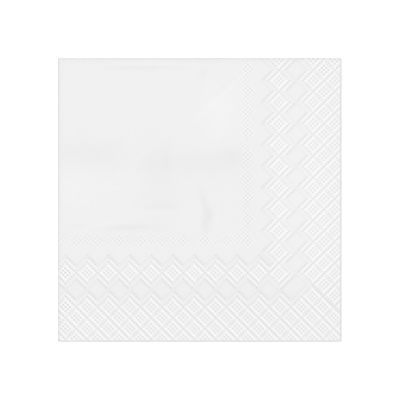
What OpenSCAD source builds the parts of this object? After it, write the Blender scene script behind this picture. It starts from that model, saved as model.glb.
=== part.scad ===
// Paper napkin, one embossed sheet folded in four, lying flat.
// The origin is the middle of its footprint on the table. The open edges are
// at +X and -Y, the folds at +Y (first fold) and -X (second fold), +Z is up.

/* [Sheet] */
// Width of the napkin opened out flat
sheet_width = 330; // [240:5:420]
// Depth of the napkin opened out flat
sheet_depth = 330; // [240:5:420]
// Thickness of the sheet itself
paper_thickness = 0.3; // [0.25:0.01:0.5]
// Gap between the two layers joined by the first fold
first_fold_gap = 0.2; // [0.1:0.02:0.8]
// Gap between the two halves joined by the second fold
second_fold_gap = 0.3; // [0.1:0.02:0.8]

/* [Embossed border] */
// Distance from one diamond to the next along an open edge
diamond_pitch = 12.5; // [10:0.25:18]
// Columns of diamonds in the wide outer band
outer_columns = 3; // [2:1:4]
// First diamond centre, in from the open edge on the right
right_margin = 3.1; // [2:0.1:6]
// First diamond centre, in from the open edge at the bottom
bottom_margin = 6.9; // [2:0.1:9]
// How far the paper is pressed in along the grooves
groove_depth = 0.12; // [0.05:0.01:0.15]
// Width of the bold grooves, which lean one way along each edge
bold_groove = 1.1; // [0.8:0.05:1.5]
// Width of the fine grooves that cross the bold ones
fine_groove = 0.6; // [0.4:0.05:1]
// Width of the groove that outlines each band in zigzags
rim_groove = 0.7; // [0.4:0.05:1]
// How far the paper is pressed in at the middle of a diamond
dimple_depth = 0.06; // [0.03:0.01:0.15]
// Side of the square dimple in the middle of a diamond
dimple_side = 5; // [3:0.1:5.5]
// Side of the small diamonds in the single row inside the border
motif_side = 4.6; // [3:0.1:5.5]

/* [Hidden] */
$fn = 24;

paper_colour = [0.95, 0.95, 0.94];

// Footprint of the folded napkin
folded_width = sheet_width / 2;
folded_depth = sheet_depth / 2;
right_edge = folded_width / 2;
bottom_edge = -folded_depth / 2;

// First fold: a hairpin of two layers
half_height = 2 * paper_thickness + first_fold_gap;
hairpin_radius = half_height / 2;
hairpin_y = folded_depth / 2 - hairpin_radius;

// Second fold: the hairpin bent round on itself
bend_inner = second_fold_gap / 2;
bend_radius = bend_inner + half_height;
bend_x = bend_radius - folded_width / 2;

// The flat of a face, from the open edges to where the folds begin
flat_width = right_edge - bend_x;
flat_depth = hairpin_y - bottom_edge;

// Diamond lattice: a cell is a square stood on its corner
cell_side = diamond_pitch / sqrt(2);
half_pitch = diamond_pitch / 2;
// Side of the big diamonds whose union gives a band its zigzag rim
rim_to_cell = 1.6;
rim_side = rim_to_cell * cell_side;
rim_reach = rim_side / sqrt(2);
// From the inner band to the row of small diamonds
motif_step = 1.5 * diamond_pitch;
// The two outer bands are out of step by this much where they meet
seam_step = 2 * rim_reach - motif_step;
overshoot = 1;

// Distance of each row of diamond centres from the right and bottom edges
outer_right = right_margin + (outer_columns - 1) * half_pitch;
outer_bottom = bottom_margin + (outer_columns - 1) * half_pitch;
inner_right = outer_right + 2 * rim_reach;
inner_bottom = outer_bottom + 2 * rim_reach;
motif_right = inner_right + motif_step;
motif_bottom = inner_bottom + motif_step;

// Enough diamonds to run past the folds at the far ends
row_count = ceil(max(folded_width, folded_depth) / diamond_pitch) + 1;

// Centres are [distance from the right edge, distance from the bottom edge],
// kept where a diamond of the given reach about them lies on the flat of a face
function touching(centres, reach) = [
    for (c = centres)
        if (min(c[0], c[1]) > -reach && c[0] < flat_width + reach && c[1] < flat_depth + reach) c
];
function within(centres, reach) = touching(centres, -reach);

inner_right_cells = touching(
    [for (k = [0:row_count]) [inner_right, inner_bottom + k * diamond_pitch]], rim_reach);
inner_bottom_cells = touching(
    [for (k = [1:row_count]) [inner_right + k * diamond_pitch, inner_bottom]], rim_reach);
outer_right_cells = touching([
    for (i = [0:outer_columns], k = [0:row_count])
        [outer_right - i * half_pitch, inner_bottom + (k - i / 2) * diamond_pitch]
], rim_reach);
// The bottom band runs on into the corner, where its last cell stands one row up
outer_bottom_cells = touching([
    [outer_right + seam_step, outer_bottom + half_pitch],
    for (i = [0:outer_columns], k = [-2 - i:row_count])
        [inner_right + (k + i / 2) * diamond_pitch, outer_bottom - i * half_pitch]
], rim_reach);
motif_cells = [
    for (k = [0:row_count]) each [
        [motif_right, motif_bottom + k * diamond_pitch],
        [motif_right + (k + 1) * diamond_pitch, motif_bottom]
    ]
];

// Grooves that rise to the right are the bold ones along the right edge, and
// those that fall along the bottom edge
rising_cells = concat(inner_right_cells, outer_right_cells);
falling_cells = concat(inner_bottom_cells, outer_bottom_cells);
all_cells = concat(rising_cells, falling_cells);

// A rectangle on the lattice at one centre: its first side lies along the
// lines that rise to the right, its second side across them
module tile(centre, rising, falling) {
    translate([right_edge - centre[0], bottom_edge + centre[1]])
        rotate(45)
            square([rising, falling], center = true);
}

module tiles(centres, rising, falling) {
    for (centre = centres)
        tile(centre, rising, falling);
}

// Cells with their grooves added (grow = 1) or taken off (grow = -1). On the
// face below, which the second fold turned over, the bold grooves lean the other way
module cells(grow, face) {
    bold_across = cell_side + grow * bold_groove;
    fine_across = cell_side + grow * fine_groove;
    tiles(face == "above" ? rising_cells : falling_cells, fine_across, bold_across);
    tiles(face == "above" ? falling_cells : rising_cells, bold_across, fine_across);
}

// The flat part of a face, past the open edges and up to the start of each fold
module flat_area() {
    translate([bend_x, bottom_edge - overshoot])
        square([flat_width + overshoot, flat_depth + overshoot]);
}

module groove_pattern(face) {
    intersection() {
        flat_area();
        difference() {
            tiles(all_cells, rim_side + rim_groove, rim_side + rim_groove);
            difference() {
                tiles(all_cells, rim_side - rim_groove, rim_side - rim_groove);
                cells(1, face);
            }
            cells(-1, face);
        }
    }
}

module dimple_pattern() {
    tiles(within(all_cells, dimple_side / sqrt(2)), dimple_side, dimple_side);
    tiles(within(motif_cells, motif_side / sqrt(2)), motif_side, motif_side);
}

// Everything pressed into a face that looks up at height 0
module relief(face) {
    translate([0, 0, -groove_depth])
        linear_extrude(groove_depth + overshoot)
            groove_pattern(face);
    translate([0, 0, -dimple_depth])
        linear_extrude(dimple_depth + overshoot)
            dimple_pattern();
}

// Two layers joined by the first fold, as [height above the bend axis, y]
module hairpin_outline(inset) {
    low = bend_inner + inset;
    high = bend_radius - inset;
    translate([low, bottom_edge - (inset > 0 ? overshoot : 0)])
        square([high - low, flat_depth + (inset > 0 ? overshoot : 0)]);
    translate([(low + high) / 2, hairpin_y])
        circle(r = (high - low) / 2);
}

module hairpin_section() {
    difference() {
        hairpin_outline(0);
        hairpin_outline(paper_thickness);
    }
}

// One half of the folded napkin, above the bend axis
module half_napkin() {
    translate([bend_x, 0, 0])
        rotate([90, 0, 90])
            linear_extrude(flat_width)
                mirror([1, -1, 0])
                    hairpin_section();
}

// The second fold, turned about the bend axis through half a turn
module bend() {
    translate([bend_x, 0, 0])
        rotate([-90, 90, 0])
            rotate_extrude(angle = 180)
                hairpin_section();
}

module folded_sheet() {
    color(paper_colour)
        translate([0, 0, bend_radius])
            difference() {
                union() {
                    half_napkin();
                    mirror([0, 0, 1]) half_napkin();
                    bend();
                }
                translate([0, 0, bend_radius]) relief("above");
                mirror([0, 0, 1])
                    translate([0, 0, bend_radius]) relief("below");
            }
}

folded_sheet();
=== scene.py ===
import math

import bpy
import numpy as np
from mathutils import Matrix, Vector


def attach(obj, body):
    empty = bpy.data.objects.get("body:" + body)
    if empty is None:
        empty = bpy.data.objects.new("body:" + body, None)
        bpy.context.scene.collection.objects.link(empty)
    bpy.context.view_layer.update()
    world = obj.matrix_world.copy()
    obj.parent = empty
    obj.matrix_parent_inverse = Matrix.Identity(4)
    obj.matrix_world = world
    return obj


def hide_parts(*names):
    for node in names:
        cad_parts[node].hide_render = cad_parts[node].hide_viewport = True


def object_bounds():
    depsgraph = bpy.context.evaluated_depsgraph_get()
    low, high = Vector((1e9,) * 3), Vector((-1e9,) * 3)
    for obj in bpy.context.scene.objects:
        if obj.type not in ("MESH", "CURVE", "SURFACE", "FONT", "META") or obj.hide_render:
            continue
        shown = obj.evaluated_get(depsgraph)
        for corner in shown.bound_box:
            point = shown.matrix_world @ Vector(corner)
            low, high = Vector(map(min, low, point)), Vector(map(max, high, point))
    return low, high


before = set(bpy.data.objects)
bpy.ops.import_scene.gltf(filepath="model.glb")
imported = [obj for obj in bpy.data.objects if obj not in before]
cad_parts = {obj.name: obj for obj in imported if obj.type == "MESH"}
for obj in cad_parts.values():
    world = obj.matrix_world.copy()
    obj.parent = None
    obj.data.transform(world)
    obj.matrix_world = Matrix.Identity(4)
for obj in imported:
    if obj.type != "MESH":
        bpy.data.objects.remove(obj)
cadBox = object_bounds()
print("frame loaded")

millimetre = 0.001

# The folded napkin, with lengths in millimetres. A tone runs from -1 on paper that
# bulges to 1 on paper that is pressed hard, and it darkens the paper as it rises. It is
# partly the paper's own pressing and partly painted shade in the grooves, dents, creases,
# along the top fold and on the ply line, with a painted highlight where the paper bulges.
napkin = {
    "openSide": 330.0,
    "thickness": 0.3,
    "firstFoldGap": 0.2,
    "secondFoldGap": 0.3,
    "tuckedRelief": 0.55,  # share of the emboss that the two inner layers take
    "edgePress": 0.06,  # how far the cut edges are pressed together, as a share
    "edgePressWidth": 0.9,
    "foldPress": 0.26,
    "foldPressWidth": 1.1,
    # painted shade along the top fold, where the paper rounds away from the light
    "foldLineShade": 0.12,
    "layerSlip": 0.03,  # how far the inner layers show past the outer ones
    "plyGap": 0.035,  # how deep the line between the two plies is at a cut edge
    # painted shade in the gap where the plies meet
    "plyLineShade": 0.15,
    "swell": 0.05,  # soft rise and fall of the whole stack, as a share
    # Length, turn in degrees and phase of each wave of the swell, the strongest first
    "swellWaves": [(61, 20, 0.4), (47, 77, 2.1), (33, 128, 4.0), (26, 52, 1.2), (38, 161, 5.3)],
    "swellFade": 0.2,  # how much weaker each next wave is
    "edgeWander": 0.12,  # how far the folds leave a straight line
    # Length, phase and share of each wave along the first and the second fold
    "firstFoldWaves": [(9.0, 1.0, 1.0), (4.3, 0.0, 0.6)],
    "secondFoldWaves": [(13.0, 0.0, 0.5)],
    # painted shade in dents and creases and painted light on their rises, for each millimetre of
    # depth
    "dentShading": 0.36,  # tone of a dent and of a crease, for each millimetre of depth
    "creaseShading": 0.95,
    "markSpread": 0.6,  # how far a mark spreads, as a share of its length and width
    # Soft dents of the whole stack: middle x, y, length, width, turn in degrees, rise
    "softDents": [
        (-64, 26, 34, 15, -4, -0.34),
        (3, 22, 44, 11, 2, -0.3),
        (-27, 24, 24, 14, 80, -0.14),
        (19, 26, 11, 9, 0, -0.3),
        (-25, 6, 34, 20, 88, -0.21),
        (13, 51, 30, 17, 82, 0.36),
        (-72, 6, 26, 24, 0, 0.24),
        (-40, 8, 30, 14, 6, 0.12),
        (-48, 62, 60, 22, 6, 0.1),
        (29, -6, 40, 8, 90, -0.14),
        (14, 12, 34, 14, 0, -0.08),
        (-2, 62, 40, 16, 0, 0.08),
        (-45, -24, 60, 8, 2, -0.1),
        (60, 12, 130, 40, 90, 0.3),
        (-20, -66, 150, 32, 0, -0.07),
        (56, -62, 60, 30, 0, -0.12),
    ],
    # Narrow creases of the top layer, given in the same way
    "creases": [
        (-33, 76.8, 36, 2.0, 0, -0.15),
        (-33, 79.4, 30, 1.8, 0, 0.06),
        (2, 73.5, 7, 3.0, 40, -0.1),
        (14, 66, 9, 3.0, 50, -0.08),
        (9, 57, 34, 3.2, 44, 0.1),
        (14, 64, 20, 3.0, 48, -0.06),
        (3.4, -3.5, 14, 3.6, 108, -0.16),
        (5.6, -10, 10, 4.4, 60, -0.12),
        (3.2, -15, 9, 3.2, 96, -0.12),
        (9.5, -7, 16, 3.6, 96, 0.06),
        (-41, -16.2, 24, 2.8, 2, -0.18),
        (-53, -13.6, 26, 2.4, 10, 0.08),
        (-70, -15.5, 14, 2.4, 16, -0.1),
        (-58, -11, 18, 2.4, 12, 0.05),
        (-21, -3.5, 14, 4.0, 2, -0.07),
        (-26, -7.5, 24, 2.6, 2, 0.06),
        (-19, 25, 18, 4.0, 84, -0.06),
        (-46, 34, 10, 3.0, 62, -0.05),
        (-33, 27, 14, 3.0, 48, 0.05),
        (18, -16, 12, 3.0, 120, 0.05),
    ],
    # The emboss: depths are in millimetres, and places and widths in diamond pitches
    "emboss": {
        "pitch": 12.5,
        "outerRight": 1.3,  # innermost column of the outer band, from the right edge
        "outerBottom": 1.6,  # its innermost row, from the bottom edge
        "outerColumns": 3,
        "innerRight": 2.9,
        "innerBottom": 3.2,
        "firstRow": 3.15,  # where the diamonds start, up along the right band
        "firstColumn": 2.85,  # and in along the bottom band
        "cornerCell": (1.35, 2.1),  # the last diamond of the bottom band, in the corner
        "rimReach": 0.8,  # from a diamond's middle to the zigzag rim of its band
        "lineReach": 0.5,  # and to the grooves between the diamonds
        "lineWidth": 0.06,
        "fineWidth": 0.09,  # the fine grooves are rows of wide beads
        "runReach": 0.56,  # half the length of a groove beside one diamond
        "fade": 0.06,  # how softly the grooves end and the dots begin
        "boldDepth": 0.13,
        "fineDepth": 0.098,
        "rimDepth": 0.11,
        "fineRim": 0.4,  # the rim where it runs along the fine grooves, as a share
        "boldBeads": 0.95,  # how much of a groove's depth comes and goes in beads
        "fineBeads": 1.35,  # more than 1 also lifts the paper between the beads
        "rimBeads": 0.85,
        "ridgeOffset": 0.14,  # from a groove to the ridges on both sides of it
        "ridgeHeight": 0.052,
        "fineRidge": 0.25,  # ridges beside the fine grooves, as a share of the bold ones
        "dotPitch": 0.2,
        "dotReach": 0.33,
        "dotDepth": 0.22,
        "dotAcross": 1.2,  # how much the dots stand apart across the bold grooves
        "dotAlong": 0.9,  # and along them, where they run together more
        "unevenness": 0.2,  # how much stronger or weaker one diamond's dots may be
        "unevenSeed": 11,
        "rightPress": 1.0,  # how hard each border is pressed, and where the bottom one ends
        "bottomPress": 1.07,
        "bottomZone": 4.6,
        "motifRight": 4.35,  # the chain of small diamonds inside the border
        "motifBottom": 4.7,
        "motifReach": 0.36,
        "motifFade": 0.09,
        "motifDepth": 0.15,
        "faintMotif": 0.8,
        "linkOffset": 0.1,  # the faint diamonds between them stand a little out of line
        "linkShare": 0.6,
        "foldZone": 12.4,  # where the dots get softer near the folds, over what width
        "foldZoneWidth": 0.1,
        "foldFade": 0.32,
        "edgeZone": 0.14,  # how far in the edges are flatter, and by what share
        "edgeFade": 0.65,
        "fullTone": 0.15,  # the depth at which pressed paper, with its painted shade, is at its darkest
    },
}
emboss = napkin["emboss"]

foldedSide = napkin["openSide"] / 2
pairHeight = 2 * napkin["thickness"] + napkin["firstFoldGap"]
stackHeight = 2 * pairHeight + napkin["secondFoldGap"]
bendInner = napkin["secondFoldGap"] / 2
bendRadius = bendInner + pairHeight
firstFoldStart = foldedSide - pairHeight / 2
secondFoldStart = foldedSide - bendRadius


def smoothStep(value):
    value = np.clip(value, 0, 1)
    return value * value * (3 - 2 * value)


def hump(value):
    return np.exp(-value * value)


def turned(degrees):
    return math.cos(math.radians(degrees)), math.sin(math.radians(degrees))


def beads(along, start=0.0):
    return 0.5 + 0.5 * np.cos(2 * math.pi * (along - start) / emboss["dotPitch"])


def beaded(along, share, start=0.0):
    return 1 - share + share * beads(along, start)


def borderDiamonds():
    # Each middle's distance from the right and the bottom edge, and how strong its dots
    # are, with a minus where its bold grooves fall to the right
    e, rows = emboss, range(math.ceil(foldedSide / emboss["pitch"]) + 2)
    found = [(*e["cornerCell"], -1)]
    for k in rows:
        found.append((e["innerRight"], e["firstRow"] + k, 1))
        found.append((e["firstColumn"] + k + 1, e["innerBottom"], -1))
    for i in range(e["outerColumns"] + 1):
        for k in rows:
            found.append((e["outerRight"] - i / 2, e["firstRow"] + k - i / 2, 1))
        for k in range(-2 - i, len(rows)):  # the bottom band runs on into the corner
            found.append((e["firstColumn"] + k + i / 2, e["outerBottom"] - i / 2, -1))
    draws = np.random.default_rng(e["unevenSeed"]).uniform(-1, 1, len(found))
    return [
        (right, bottom, lean * (1 + e["unevenness"] * draw))
        for (right, bottom, lean), draw in zip(found, draws)
    ]


def smallDiamonds():
    # The chain inside the border: a strong diamond, then a faint one half a pitch on
    e, found = emboss, []
    for k in range(math.ceil(foldedSide / e["pitch"])):
        right, bottom, off, half = e["motifRight"], e["motifBottom"], e["linkOffset"], k + 0.5
        found.append((right, bottom + k, 1.0))
        found.append((right + off, bottom + half, e["linkShare"]))
        found.append((right + k + 1, bottom, e["faintMotif"]))
        found.append((right + half, bottom + off, e["linkShare"] * e["faintMotif"]))
    return found


def nearest(right, bottom, centres):
    # Reach to the nearest diamond, the place in it along both leanings, and its last entry
    tie = 1e-9
    rising, falling = right + bottom, right - bottom
    reach = np.full(right.shape, np.inf)
    across, along, mark = (np.zeros(right.shape) for _ in range(3))
    for fromRight, fromBottom, kind in centres:
        u, v = rising - (fromRight + fromBottom), falling - (fromRight - fromBottom)
        here = np.maximum(np.abs(u), np.abs(v))
        closer = here < reach - tie
        reach[closer], across[closer], along[closer] = here[closer], u[closer], v[closer]
        mark[closer] = kind
    return reach, across, along, mark


def embossHeight(right, bottom):
    # Height of the paper in millimetres, its tone (darker where pressed, with painted shade in
    # the grooves and a painted highlight on the bulges), and where there is any emboss
    e = emboss
    width, fade, onBead = e["lineWidth"], e["fade"], e["dotPitch"] / 2

    def ridges(run, groove):
        return sum(run * hump((groove + side * e["ridgeOffset"]) / width) for side in (-1, 1))

    reach, u, v, mark = nearest(right, bottom, borderDiamonds())
    boldAcross, boldAlong = np.where(mark > 0, u, v), np.where(mark > 0, v, u)
    inside = reach < e["rimReach"] - width
    inBold = np.abs(boldAcross) - e["lineReach"]
    inFine = np.abs(boldAlong) - e["lineReach"]
    boldRun = inside * smoothStep((e["runReach"] - np.abs(boldAlong)) / fade)
    fineRun = inside * smoothStep((e["runReach"] - np.abs(boldAcross)) / fade)
    boldLine = boldRun * hump(inBold / width) * beaded(boldAlong, e["boldBeads"], onBead)
    fineLine = fineRun * hump(inFine / e["fineWidth"]) * (1 - boldRun * hump(inBold / width))
    fineLine *= beaded(boldAcross, e["fineBeads"], onBead)
    byBold = np.abs(boldAcross) > np.abs(boldAlong)
    rimAlong = np.where(byBold, boldAlong, boldAcross)
    rimShare = np.where(byBold, 1, e["fineRim"])
    rimLine = rimShare * hump((reach - e["rimReach"]) / width) * beaded(rimAlong, e["rimBeads"])
    ridge = ridges(boldRun, inBold) + e["fineRidge"] * ridges(fineRun, inFine)
    middle = smoothStep((e["dotReach"] - reach) / fade)
    farther = np.maximum(right, bottom)
    softer = 1 - e["foldFade"] * smoothStep((farther - e["foldZone"]) / e["foldZoneWidth"])
    dots = e["dotAcross"] * (beads(boldAcross) - 0.5) + e["dotAlong"] * (beads(boldAlong) - 0.5)
    dots *= softer * middle * np.abs(mark)
    height = (
        e["ridgeHeight"] * ridge * (1 - middle)
        - e["dotDepth"] * dots
        - e["boldDepth"] * boldLine - e["fineDepth"] * fineLine
        - e["rimDepth"] * rimLine
    )
    nearBottom = smoothStep(e["bottomZone"] - bottom)
    height *= e["rightPress"] + (e["bottomPress"] - e["rightPress"]) * nearBottom
    motifFar, u, v, strength = nearest(right, bottom, smallDiamonds())
    motif = smoothStep((e["motifReach"] - motifFar) / e["motifFade"]) * strength
    height -= e["motifDepth"] * softer * motif * (beads(u) + beads(v) - 1)
    # Cutting and folding press the paper flat again
    edge = np.minimum(np.minimum(right, bottom), foldedSide / e["pitch"] - farther)
    height *= 1 - e["edgeFade"] * (1 - smoothStep(edge / e["edgeZone"]))
    # Deeper paper gets darker, partly from pressing and partly as painted shade; bulging paper
    # gets a painted highlight
    tone = np.clip(-height / e["fullTone"], -1, 1)
    byBorder = reach < e["rimReach"] + lattice["rimMargin"]
    byMotif = motifFar < e["motifReach"] + lattice["motifMargin"]
    return height, tone, byBorder | byMotif


def softHeight(marks, x, y):
    height, spread = np.zeros(x.shape), napkin["markSpread"]
    for middleX, middleY, length, width, turn, rise in marks:
        c, s = turned(turn)
        along = (x - middleX) * c + (y - middleY) * s
        off = (y - middleY) * c - (x - middleX) * s
        height += rise * hump(along / (spread * length)) * hump(off / (spread * width))
    return height


def swellShare(x, y):
    # Rise of the whole stack as a share of its height
    n, side = napkin, foldedSide / 2
    wave = np.zeros(x.shape)
    for number, (length, turn, phase) in enumerate(n["swellWaves"]):
        c, s = turned(turn)
        across = np.sin(2 * math.pi * (x * c + y * s) / length + phase)
        wave += across / (1 + n["swellFade"] * number)
    cut = hump((side - x) / n["edgePressWidth"]) + hump((side + y) / n["edgePressWidth"])
    fold = hump((side + x) / n["foldPressWidth"]) + hump((side - y) / n["foldPressWidth"])
    press = n["edgePress"] * np.minimum(cut, 1) + n["foldPress"] * np.minimum(fold, 1)
    return n["swell"] * wave + softHeight(n["softDents"], x, y) / stackHeight - press


def wander(along, waves):
    return napkin["edgeWander"] * sum(
        share * np.sin(along / length + phase) for length, phase, share in waves
    )


# The mesh is a lattice of right triangles that halve where there is detail. Steps are
# its smallest distances, and a level is how many times the first triangles are halved.
lattice = {
    "stepsPerPitch": 40,
    "rootSteps": 16,  # side of the first triangles
    "foldSteps": 8,  # steps that go round half of a fold
    "leadSteps": 32,  # steps that are stretched to lead up to a fold
    "finest": 6,
    "embossed": 5,
    "creased": 4,
    "plainFace": 2,
    "underside": 4,
    "plainUnder": 1,
    "folds": 4,
    "innerFolds": 2,
    "cut": 3,
    "topCut": 5,
    "undersideShift": 2,  # steps that put the dots below back on the mesh
    "leastCrease": 0.02,  # a lower crease gets no finer mesh, in millimetres
    "rimMargin": 0.08,  # how far the fine mesh reaches past the emboss, in pitches
    "motifMargin": 0.02,
}
gridStep = emboss["pitch"] / lattice["stepsPerPitch"]
halfSteps = round(foldedSide / gridStep)
fullSteps = 2 * halfSteps


def foldPath(index, bendStart):
    # Distance from the open edge and the angle turned, along one side of the opened sheet
    foldSteps, leadSteps = lattice["foldSteps"], lattice["leadSteps"]
    fromFold = np.abs(index - halfSteps)
    flat = (halfSteps - fromFold) * gridStep
    leadStart = (halfSteps - leadSteps) * gridStep
    lead = (leadSteps - fromFold) / (leadSteps - foldSteps)
    distance = np.where(lead > 0, leadStart + np.clip(lead, 0, 1) * (bendStart - leadStart), flat)
    angle = np.clip((index - halfSteps) / foldSteps, -1, 1) * math.pi / 2 + math.pi / 2
    return distance, angle


def foldedPlace(i, j):
    # The middle of the sheet once it is folded, which way it faces, and how much of
    # the emboss it takes there, less than nothing where it was turned over
    up, first = foldPath(j, firstFoldStart)
    across, second = foldPath(i, secondFoldStart)
    hairpin = (pairHeight - napkin["thickness"]) / 2
    tucked = (1 - np.cos(first)) / 2
    slip = napkin["layerSlip"] * tucked
    y = up - foldedSide / 2 + hairpin * np.sin(first)
    fromAxis = bendInner + pairHeight / 2 + hairpin * np.cos(first)
    x = foldedSide / 2 - across - fromAxis * np.sin(second)
    z = bendRadius + fromAxis * np.cos(second)
    x = x + slip * (1 - across / foldedSide)
    y = y - slip * (1 - up / foldedSide)
    place = np.stack([x, y, z], 1)
    turn = np.cos(first)
    normal = np.stack([-np.sin(second) * turn, np.sin(first), np.cos(second) * turn], 1)
    takes = np.where(turn > 0, turn, napkin["tuckedRelief"] * turn) * np.abs(np.cos(second))
    return place, normal, takes


def latticePoints(startI, startJ, span):
    return np.meshgrid(
        np.arange(startI, fullSteps + 1, span), np.arange(startJ, fullSteps + 1, span),
        indexing="ij",
    )


def halfSquare(level):
    return lattice["rootSteps"] >> (level // 2 + 1)


def halved(wanted):
    # Marks every midpoint that has to split, so that no triangle meets another's side halfway
    need = wanted.copy()
    for level in range(lattice["finest"], 0, -1):
        span = halfSquare(level)
        if level % 2:  # midpoints of the sides of squares: the squares' middles are their parents
            for startI, startJ, moves in (
                (span, 0, ((0, span), (0, -span))),
                (0, span, ((span, 0), (-span, 0))),
            ):
                i, j = latticePoints(startI, startJ, 2 * span)
                here = need[i, j]
                for moveI, moveJ in moves:
                    upI, upJ = i[here] + moveI, j[here] + moveJ
                    ok = (upI >= 0) & (upJ >= 0) & (upI <= fullSteps) & (upJ <= fullSteps)
                    need[upI[ok], upJ[ok]] = True
        else:  # middles of squares: two opposite corners are their parents
            i, j = latticePoints(span, span, 2 * span)
            here = need[i, j]
            i, j = i[here], j[here]
            for moveI, moveJ in ((span, span), (span, -span), (-span, span), (-span, -span)):
                upI, upJ = i + moveI, j + moveJ
                odd = ((upI // (2 * span)) + (upJ // (2 * span))) % 2 == 1
                need[upI[odd], upJ[odd]] = True
    return need


def rightTriangles(wantedLevel):
    # wantedLevel gives, for arrays of lattice points, how often to halve there
    size = lattice["rootSteps"]
    wanted = np.zeros((fullSteps + 1, fullSteps + 1), bool)
    for level in range(lattice["finest"] + 1):
        span = halfSquare(level)
        starts = ((span, 0), (0, span)) if level % 2 else ((span, span),)
        for startI, startJ in starts:
            i, j = latticePoints(startI, startJ, 2 * span)
            wanted[i, j] |= wantedLevel(i, j) >= level
    need = halved(wanted)
    corners = np.arange(0, fullSteps, size)
    i, j = np.meshgrid(corners, corners, indexing="ij")
    low = np.stack([i.ravel(), j.ravel()], 1)
    right, top, both = low + [size, 0], low + [0, size], low + [size, size]
    # Each triangle is its square corner and the two ends of its long side
    corner = np.concatenate([right, top])
    first = np.concatenate([both, low])
    second = np.concatenate([low, both])
    done = []
    for level in range(lattice["finest"] + 1):
        middle = (first + second) // 2
        split = need[middle[:, 0], middle[:, 1]]
        done.append(np.stack([corner[~split], first[~split], second[~split]], 1))
        corner, first, second, middle = corner[split], first[split], second[split], middle[split]
        corner, first, second = (
            np.concatenate([middle, middle]),
            np.concatenate([corner, second]),
            np.concatenate([first, corner]),
        )
    done.append(np.stack([corner, first, second], 1))
    triangles = np.concatenate(done)
    keys = triangles[:, :, 0] * (fullSteps + 1) + triangles[:, :, 1]
    unique, index = np.unique(keys, return_inverse=True)
    return unique // (fullSteps + 1), unique % (fullSteps + 1), index.reshape(-1, 3), unique


def openEdges(triangles):
    # The directed sides that only one triangle has
    ends = np.concatenate([triangles[:, [0, 1]], triangles[:, [1, 2]], triangles[:, [2, 0]]])
    count = int(triangles.max()) + 1
    there, back = ends[:, 0] * count + ends[:, 1], ends[:, 1] * count + ends[:, 0]
    return ends[~np.isin(there, back)]


quarterSteps = np.arange(halfSteps + 1)
quarterPlace = np.meshgrid(
    foldPath(quarterSteps, secondFoldStart)[0] / emboss["pitch"],
    foldPath(quarterSteps, firstFoldStart)[0] / emboss["pitch"],
    indexing="ij",
)
quarterHeight, quarterTone, quarterDetailed = embossHeight(*quarterPlace)
print("emboss drawn")


def onQuarter(field, i, j):
    # All four quarters of the sheet carry the same emboss, mirrored at the folds
    below = np.minimum(fullSteps - i + lattice["undersideShift"], halfSteps)
    return field[np.where(i <= halfSteps, i, below), np.minimum(j, fullSteps - j)]


def onTheCut(i, j):
    return (i == 0) | (j == 0) | (i == fullSteps) | (j == fullSteps)


def onTopFace(i, j):
    return (i < halfSteps) & (j < halfSteps)


def foldLevel(i, j):
    reach, folds = lattice["foldSteps"], lattice["folds"]
    level = np.where(np.abs(j - halfSteps) <= reach, folds, 0)
    second = np.where(j < halfSteps, folds, lattice["innerFolds"])
    return np.where(np.abs(i - halfSteps) <= reach, np.maximum(level, second), level)


def cutLevel(i, j):
    return np.where(onTopFace(i, j), lattice["topCut"], lattice["cut"])


def showingLevel(i, j):
    detailed = onQuarter(quarterDetailed, i, j)
    # Next to the folds the steps are longer, so it takes more of them
    finer = np.minimum(np.abs(i - halfSteps), np.abs(j - halfSteps)) < lattice["leadSteps"]
    x, y = foldedSide / 2 - i * gridStep, j * gridStep - foldedSide / 2
    creased = np.abs(softHeight(napkin["creases"], x, y)) > lattice["leastCrease"]
    top = np.where(creased, lattice["creased"], lattice["plainFace"])
    top = np.where(detailed, lattice["embossed"] + finer, top)
    below = np.where(detailed, lattice["underside"] + finer, lattice["plainUnder"])
    level = np.where(j < halfSteps, np.where(i < halfSteps, top, below), 0)
    return np.where(onTheCut(i, j), cutLevel(i, j), np.maximum(level, foldLevel(i, j)))


def hiddenLevel(i, j):
    level = np.minimum(foldLevel(i, j), lattice["innerFolds"])
    return np.where(onTheCut(i, j), cutLevel(i, j), level)


def sheetSide(i, j, facing):
    # facing is 1 for the side that shows and -1 for the side folded inwards
    n, side, topFace = napkin, foldedSide / 2, onTopFace(i, j)
    place, normal, takes = foldedPlace(i, j)
    relief = onQuarter(quarterHeight, i, j) * takes
    if facing > 0:
        creased = softHeight(n["creases"], place[:, 0], place[:, 1])
        relief = relief + np.where(topFace, creased, 0) * takes
    else:
        relief = np.where(onTheCut(i, j), relief, 0)
    place = place + normal * (relief + facing * n["thickness"] / 2)[:, None]
    x, y, z = place.T
    z = z * (1 + swellShare(x, y))
    y = y + wander(x, n["firstFoldWaves"]) * smoothStep(y / foldedSide)
    x = x + wander(y, n["secondFoldWaves"]) * smoothStep(-x / foldedSide)
    # Paper that is bent round a fold loses its emboss
    tone = onQuarter(quarterTone, i, j) * np.abs(takes) * (facing > 0)
    # Painted shade in the hollows of the dents and creases, and painted light on their rises
    tone = tone - n["dentShading"] * softHeight(n["softDents"], x, y)
    tone = tone - n["creaseShading"] * softHeight(n["creases"], x, y) * topFace
    # Painted shade along the top fold
    tone = tone + n["foldLineShade"] * hump((side - y) / n["foldPressWidth"])
    return np.stack([x, y, z], 1), tone


def meshOf(name, points, triangles, smooth):
    mesh = bpy.data.meshes.new(name)
    mesh.vertices.add(len(points))
    mesh.vertices.foreach_set("co", points.astype(np.float32).ravel())
    mesh.loops.add(triangles.size)
    mesh.loops.foreach_set("vertex_index", triangles.astype(np.int32).ravel())
    mesh.polygons.add(len(triangles))
    mesh.polygons.foreach_set("loop_start", np.arange(0, triangles.size, 3, dtype=np.int32))
    mesh.polygons.foreach_set("use_smooth", smooth)
    mesh.update(calc_edges=True)
    mesh.validate()
    thing = bpy.data.objects.new(name, mesh)
    bpy.context.scene.collection.objects.link(thing)
    return thing


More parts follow.
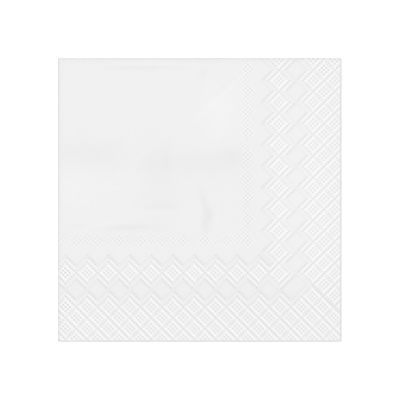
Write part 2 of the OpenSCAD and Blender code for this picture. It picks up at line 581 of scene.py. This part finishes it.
def buildNapkin():
    i, j, shown, shownKeys = rightTriangles(showingLevel)
    hiddenI, hiddenJ, hidden, hiddenKeys = rightTriangles(hiddenLevel)
    points, tone = sheetSide(i, j, 1)
    hiddenPoints, hiddenTone = sheetSide(hiddenI, hiddenJ, -1)
    points = np.concatenate([points, hiddenPoints])
    hidden = hidden[:, ::-1]
    rim = openEdges(shown)
    back = np.searchsorted(hiddenKeys, shownKeys[rim])
    if not (hiddenKeys[back] == shownKeys[rim]).all() or len(openEdges(hidden)) != len(rim):
        raise RuntimeError("the two sides of the sheet have different cut edges")
    back = back + len(i)
    # Between the two sides a cut edge shows the line where the plies meet, with painted shade on
    # it
    cut, place = np.unique(rim, return_inverse=True)
    across = np.zeros(len(points), int)
    across[rim] = back
    middle = (points[cut] + points[across[cut]]) / 2
    onRight = (i[cut] == 0) | (i[cut] == fullSteps)
    onBottom = (j[cut] == 0) | (j[cut] == fullSteps)
    middle -= napkin["plyGap"] * np.stack([onRight, -1.0 * onBottom, 0 * onRight], 1)
    middles = place.reshape(rim.shape) + len(points)
    points = np.concatenate([points, middle])
    # The ply line gets painted shade
    tone = np.concatenate([tone, hiddenTone, np.full(len(cut), napkin["plyLineShade"])])
    strips = []
    for outer, inner in ((rim, middles), (middles, back)):
        strips.append(np.stack([outer[:, 1], outer[:, 0], inner[:, 0]], 1))
        strips.append(np.stack([outer[:, 1], inner[:, 0], inner[:, 1]], 1))
    triangles = np.concatenate([shown, hidden + len(i), *strips])
    a, b, c = (points[triangles[:, k]] for k in range(3))
    if (a * np.cross(b, c)).sum() < 0:
        triangles = triangles[:, ::-1]
    smooth = np.arange(len(triangles)) < len(shown) + len(hidden)
    points[:, 2] -= points[:, 2].min()
    piece = meshOf("embossed_napkin", points * millimetre, triangles, smooth)
    attribute = piece.data.attributes.new("pressed", "FLOAT", "POINT")
    attribute.data.foreach_set("value", tone.astype(np.float32))
    print("napkin built,", len(triangles), "triangles")
    return piece


class Value:
    # A socket in an expression: each operator adds its Math node
    def __init__(self, finish, socket):
        self.finish, self.socket = finish, socket

    def maths(self, operation, first, second):
        return self.finish.add("Math", {"operation": operation}, {0: first, 1: second})

    def __add__(self, other):
        return self.maths("ADD", self, other)

    def __sub__(self, other):
        return self.maths("SUBTRACT", self, other)

    def __rsub__(self, other):
        return self.maths("SUBTRACT", other, self)

    def __mul__(self, other):
        return self.maths("MULTIPLY", self, other)

    __radd__ = __add__
    __rmul__ = __mul__


class Finish:
    def __init__(self, name):
        self.material = bpy.data.materials.new(name)
        self.material.use_nodes = True
        self.tree = self.material.node_tree
        self.tree.nodes.clear()

    def add(self, kind, settings=None, inputs=None, output=0):
        node = self.tree.nodes.new("ShaderNode" + kind)
        for name, value in (settings or {}).items():
            setattr(node, name, value)
        for name, value in (inputs or {}).items():
            if isinstance(value, Value):
                self.tree.links.new(value.socket, node.inputs[name])
            else:
                node.inputs[name].default_value = value
        return Value(self, node.outputs[output]) if node.outputs else None

    def surface(self, inputs):
        shader = self.add("BsdfPrincipled", None, inputs)
        self.add("OutputMaterial", None, {"Surface": shader})
        return self.material

    def mixColour(self, factor, first, second):
        # 6 and 7 are the Mix node's colour sockets, and 2 is its colour output
        return self.add(
            "Mix", {"data_type": "RGBA", "clamp_factor": True},
            {"Factor": factor, 6: first, 7: second}, output=2,
        )


# The tissue's finish. The scale of each noise counts its grains in a millimetre.
tissue = {
    "paper": (0.8, 0.798, 0.799, 1),
    "thin": (0.781, 0.78, 0.782, 1),
    # pressed paper's colour: partly its own, partly painted shade in grooves, dents and creases
    "pressedDown": (0.568, 0.568, 0.572, 1),
    # bulging paper's colour: partly the fluffier paper's own, partly a painted highlight
    "raisedWithPaintedHighlight": (0.96, 0.96, 0.96, 1),
    "clouds": {"Scale": 0.16, "Detail": 4.0, "Roughness": 0.6},
    "fibres": {"Scale": 1.7, "Detail": 5.0, "Roughness": 0.7, "Distortion": 1.4},
    "crepe": {"Scale": 1.1, "Detail": 3.0, "Roughness": 0.55},
    "crepeStretch": (0.22, 1.0, 1.0),
    "cloudShare": 0.6,  # how much of the colour's change is clouds, and the rest fibres
    "fibreShare": 0.6,  # how much of the bump is fibres, and the rest crepe
    "bumpHeight": 0.035,
    "bumpStrength": 0.5,
    "roughness": 0.88,
    "pressedSheen": 0.12,  # how much smoother the paper is where it is pressed
    "fibreRoughness": 0.06,
    "specular": 0.25,
}


def tissueMaterial():
    t, finish = tissue, Finish("tissue_paper")
    place = finish.add("TexCoord", output=3)  # object coordinates, in metres
    inMillimetres = finish.add(
        "VectorMath", {"operation": "SCALE"}, {0: place, "Scale": 1 / millimetre}
    )
    clouds = finish.add("TexNoise", None, {"Vector": inMillimetres, **t["clouds"]})
    fibres = finish.add("TexNoise", None, {"Vector": inMillimetres, **t["fibres"]})
    stretched = finish.add(
        "VectorMath", {"operation": "MULTIPLY"}, {0: inMillimetres, 1: t["crepeStretch"]}
    )
    crepe = finish.add("TexNoise", None, {"Vector": stretched, **t["crepe"]})
    # The tone holds the pressing together with painted shade in hollows, creases, the top fold
    # and the ply line, and a painted highlight on bulges
    pressed = finish.add("Attribute", {"attribute_name": "pressed"}, output=2)
    thin = clouds * t["cloudShare"] + fibres * (1 - t["cloudShare"])
    colour = finish.mixColour(thin, t["paper"], t["thin"])
    # Painted shade where the tone rises, and a painted highlight where it falls below nothing
    colour = finish.mixColour(pressed, colour, t["pressedDown"])
    colour = finish.mixColour(0 - pressed, colour, t["raisedWithPaintedHighlight"])
    height = fibres * t["fibreShare"] + crepe * (1 - t["fibreShare"])
    normal = finish.add("Bump", None, {
        "Strength": t["bumpStrength"], "Distance": t["bumpHeight"] * millimetre,
        "Height": height,
    })
    return finish.surface({
        "Base Color": colour,
        "Roughness": t["roughness"] - t["pressedSheen"] * pressed + t["fibreRoughness"] * fibres,
        "Normal": normal,
        "Specular IOR Level": t["specular"],
    })


floor = {"reach": 3.0, "colour": (0.97, 0.97, 0.97, 1), "roughness": 0.9, "specular": 0.1}


def paleFloor():
    mesh, r = bpy.data.meshes.new("pale_floor"), floor["reach"]
    mesh.from_pydata([(-r, -r, 0), (r, -r, 0), (r, r, 0), (-r, r, 0)], [], [(0, 1, 2, 3)])
    ground = bpy.data.objects.new("pale_floor", mesh)
    bpy.context.scene.collection.objects.link(ground)
    mesh.materials.append(Finish("pale_floor").surface({
        "Base Color": floor["colour"], "Roughness": floor["roughness"],
        "Specular IOR Level": floor["specular"],
    }))


# Places and widths are in metres, and power in watts
studio = {
    "lamps": {  # place, what it looks at, width, power
        "overhead": ((0.0, 0.0, 1.5), (0, 0, 0), 0.9, 19.3),
        "upperLeft": ((-0.6, 0.5, 0.9), (0, 0, 0), 0.45, 0.9),
    },
    "surround": 0.26,
    "cameraHeight": 1.6,
    "frameWidth": 0.2331,  # what the picture spans at the height of the napkin
    "middle": (0.00026, -0.00012),
    "sensorWidth": 36.0,  # in millimetres
    "nearest": 0.01,
    "farthest": 20.0,
}


def lightUp():
    for name, (place, target, size, power) in studio["lamps"].items():
        light = bpy.data.lights.new(name, "AREA")
        light.shape = "DISK"
        light.size, light.energy = size, power
        lamp = bpy.data.objects.new(name, light)
        lamp.location = place
        away = np.array(place) - np.array(target)
        lamp.rotation_euler = (
            math.atan2(math.hypot(away[0], away[1]), away[2]), 0,
            math.atan2(away[0], -away[1]) if away[0] or away[1] else 0,
        )
        bpy.context.scene.collection.objects.link(lamp)
    world = bpy.data.worlds.new("surround")
    world.use_nodes = True
    back = world.node_tree.nodes["Background"]
    back.inputs["Color"].default_value = (1, 1, 1, 1)
    back.inputs["Strength"].default_value = studio["surround"]
    bpy.context.scene.world = world
    bpy.context.scene.view_settings.view_transform = "Standard"


def lookDown(top):
    camera = bpy.data.cameras.new("overhead_camera")
    camera.sensor_width = studio["sensorWidth"]
    camera.lens = camera.sensor_width * (studio["cameraHeight"] - top) / studio["frameWidth"]
    camera.clip_start, camera.clip_end = studio["nearest"], studio["farthest"]
    looker = bpy.data.objects.new("overhead_camera", camera)
    looker.location = (*studio["middle"], studio["cameraHeight"])
    bpy.context.scene.collection.objects.link(looker)
    bpy.context.scene.camera = looker


foldedNapkin = buildNapkin()
foldedNapkin.data.materials.append(tissueMaterial())
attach(foldedNapkin, "root")
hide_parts("folded_sheet")
print("napkin finished")

paleFloor()
lightUp()
lookDown(cadBox[1][2])
print("studio ready")
